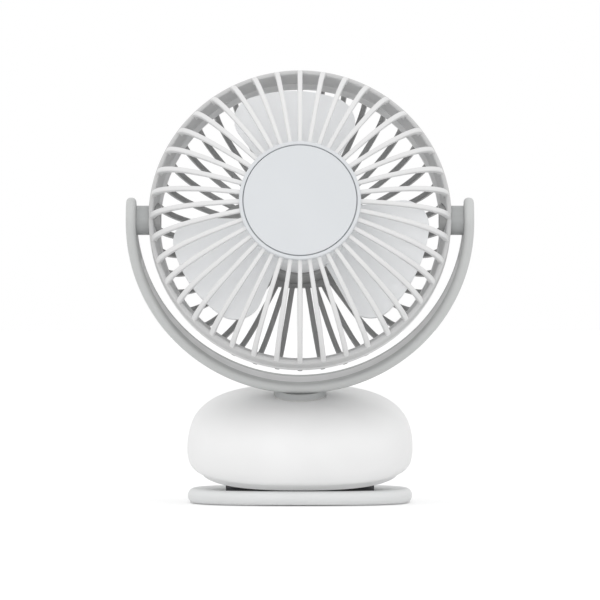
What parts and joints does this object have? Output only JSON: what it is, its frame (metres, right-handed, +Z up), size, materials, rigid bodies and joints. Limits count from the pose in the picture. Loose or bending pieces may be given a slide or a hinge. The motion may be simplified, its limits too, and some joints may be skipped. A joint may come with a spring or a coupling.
{
  "type": "clip fan",
  "caption": "Rechargeable clip-on desk fan: ribbed round head tilting in a U-shaped bow on a swivel neck, cushion-shaped body hinged to a flat lower jaw.",
  "frame": {"origin": "on the surface the fan stands on, under the middle of the flat lower jaw", "axes": "+Z up, the fan blows towards -Y, +X to the right of a viewer who looks at its front"},
  "size_m": [0.149, 0.1118, 0.1868],
  "materials": {
    "shell_white": "satin",
    "jaw_grey_white": "satin",
    "bow_grey": "satin",
    "grille_white": "satin",
    "rear_grey": "satin",
    "cap_grey": "soft gloss",
    "wheel_white": "satin",
    "rubber_grey": "matt",
    "steel": "brushed",
    "laminated_steel": "laminated",
    "copper": "enamelled wire",
    "board_green": "solder mask",
    "inner_black": "satin",
    "cell_wrap": "shrink wrap",
    "port_steel": "plated",
    "window_clear": "frosted",
    "led_white": "lens",
    "wire_red": "sleeve",
    "bush_acetal": "smooth",
    "magnet_grey": "sintered"
  },
  "bodies": {
    "lower_jaw": {"plate_shell": "jaw_grey_white", "plate_cover": "jaw_grey_white", "plate_screws": "steel", "foot_pad": "rubber_grey", "lower_grip_pad": "rubber_grey", "hinge_pin": "steel", "torsion_spring": "steel"},
    "upper_jaw": {"body_shell": "shell_white", "body_base": "shell_white", "body_screws": "steel", "upper_grip_pad": "rubber_grey", "battery_cell": "cell_wrap", "battery_cradle": "inner_black", "main_board": "board_green", "board_screws": "steel", "usb_port": "port_steel", "tact_switch": "inner_black", "status_leds": "led_white", "led_window": "window_clear", "swivel_bush": "bush_acetal"},
    "button": {"power_button": "shell_white"},
    "yoke": {"yoke_frame": "bow_grey", "yoke_cover": "bow_grey", "motor_lead": "wire_red", "swivel_neck": "bow_grey", "neck_screws": "steel", "swivel_circlip": "steel", "pivot_caps": "bow_grey"},
    "head": {"front_grille": "grille_white", "front_cap": "cap_grey", "rear_grille": "rear_grey", "rear_cover": "cap_grey", "cover_screws": "steel", "grille_screws": "steel", "trunnion_left": "bow_grey", "trunnion_right": "bow_grey", "trunnion_washers": "steel", "trunnion_screws": "steel", "bearing_tube": "steel", "bearings": "steel", "motor_board": "board_green", "stator": "laminated_steel", "windings": "copper"},
    "rotor": {"impeller": "wheel_white", "rotor_cup": "steel", "magnet_ring": "magnet_grey", "motor_shaft": "steel", "shaft_clip": "steel"}
  },
  "joints": [
    {"name": "clip_hinge", "type": "hinge", "parent": "lower_jaw", "child": "upper_jaw", "pos_m": [0, 0.0068, 0.0112], "axis": [-1, 0, 0], "range_deg": [0, 26], "stiffness_Nm_per_rad": 0.8, "springref_deg": -34.38},
    {"name": "power_button", "type": "slide", "parent": "upper_jaw", "child": "button", "axis": [0, -0.9744, -0.225], "range_m": [0, 0.0006], "stiffness_N_per_m": 1200, "springref_m": -0.0005},
    {"name": "swivel", "type": "hinge", "parent": "upper_jaw", "child": "yoke", "pos_m": [0, -0.001, 0.0182], "axis": [0, -0.225, 0.9744], "range_deg": [-180, 180]},
    {"name": "head_tilt", "type": "hinge", "parent": "yoke", "child": "head", "pos_m": [0, -0.02493, 0.12187], "axis": [1, 0, 0], "range_deg": [-154, 206]},
    {"name": "fan_spin", "type": "hinge", "parent": "head", "child": "rotor", "pos_m": [0, -0.02493, 0.12187], "axis": [0, -0.9744, 0.225], "continuous": true}
  ]
}
